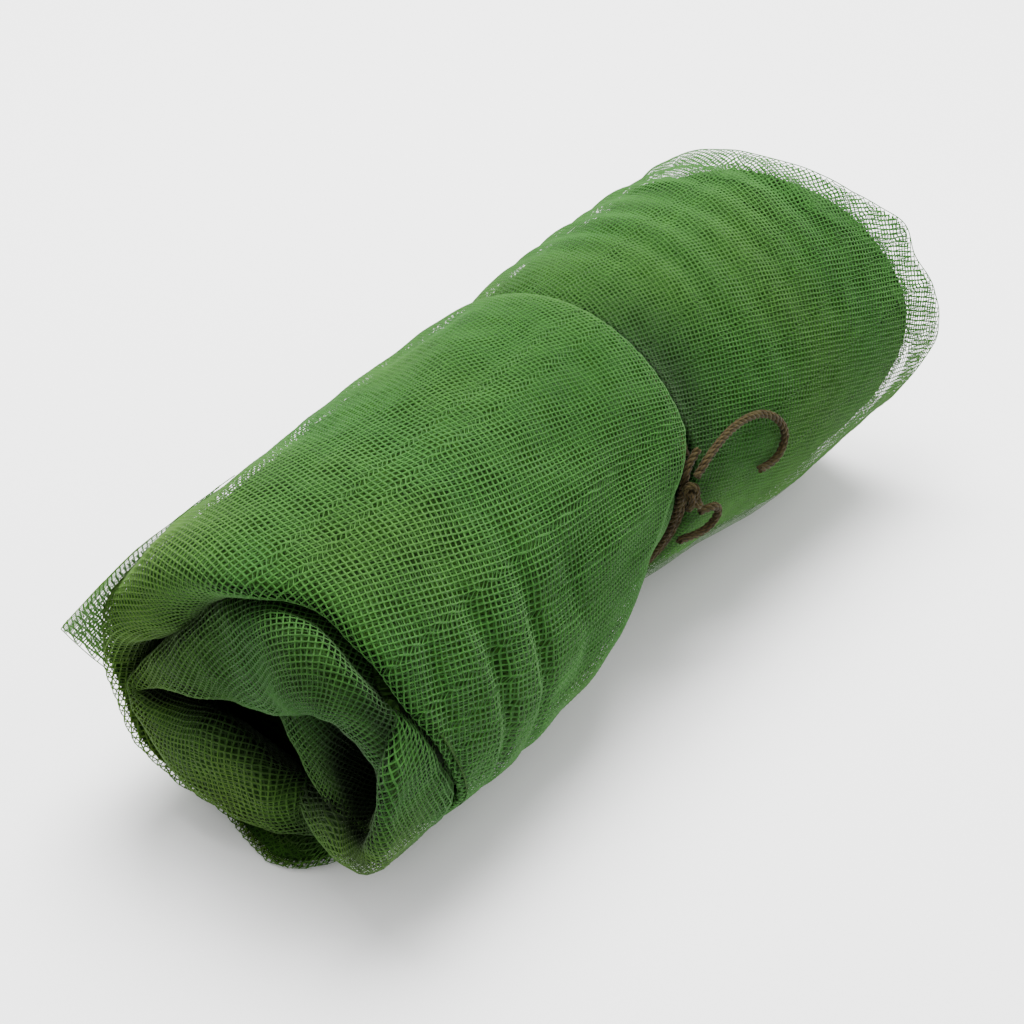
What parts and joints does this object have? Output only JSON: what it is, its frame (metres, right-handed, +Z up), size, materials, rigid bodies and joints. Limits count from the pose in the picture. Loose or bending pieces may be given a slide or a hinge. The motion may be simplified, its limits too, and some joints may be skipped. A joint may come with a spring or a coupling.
{
  "type": "rolled mesh net",
  "caption": "Rolled bundle of fine green square-mesh netting lying on its side, waisted and tied with a thin brown twisted cord.",
  "frame": {"origin": "middle of the underside of the roll's box, on the surface it lies on", "axes": "+X along the roll from its open folded end to its far end, +Z up"},
  "size_m": [0.457, 0.1818, 0.172],
  "materials": {
    "green_net": "soft matt woven mesh",
    "brown_cord": "matt twisted natural fibre"
  },
  "bodies": {
    "root": {"net_roll_front_half": "green_net", "net_roll_rear_half": "green_net", "net_near_corner_layer": "green_net", "net_far_edge_layer": "green_net", "tie_cord_front_turn": "brown_cord", "tie_cord_rear_turn": "brown_cord", "tie_cord_knot": "brown_cord", "tie_cord_long_tail": "brown_cord", "tie_cord_bow_loop": "brown_cord", "tie_cord_short_end": "brown_cord"}
  },
  "joints": []
}
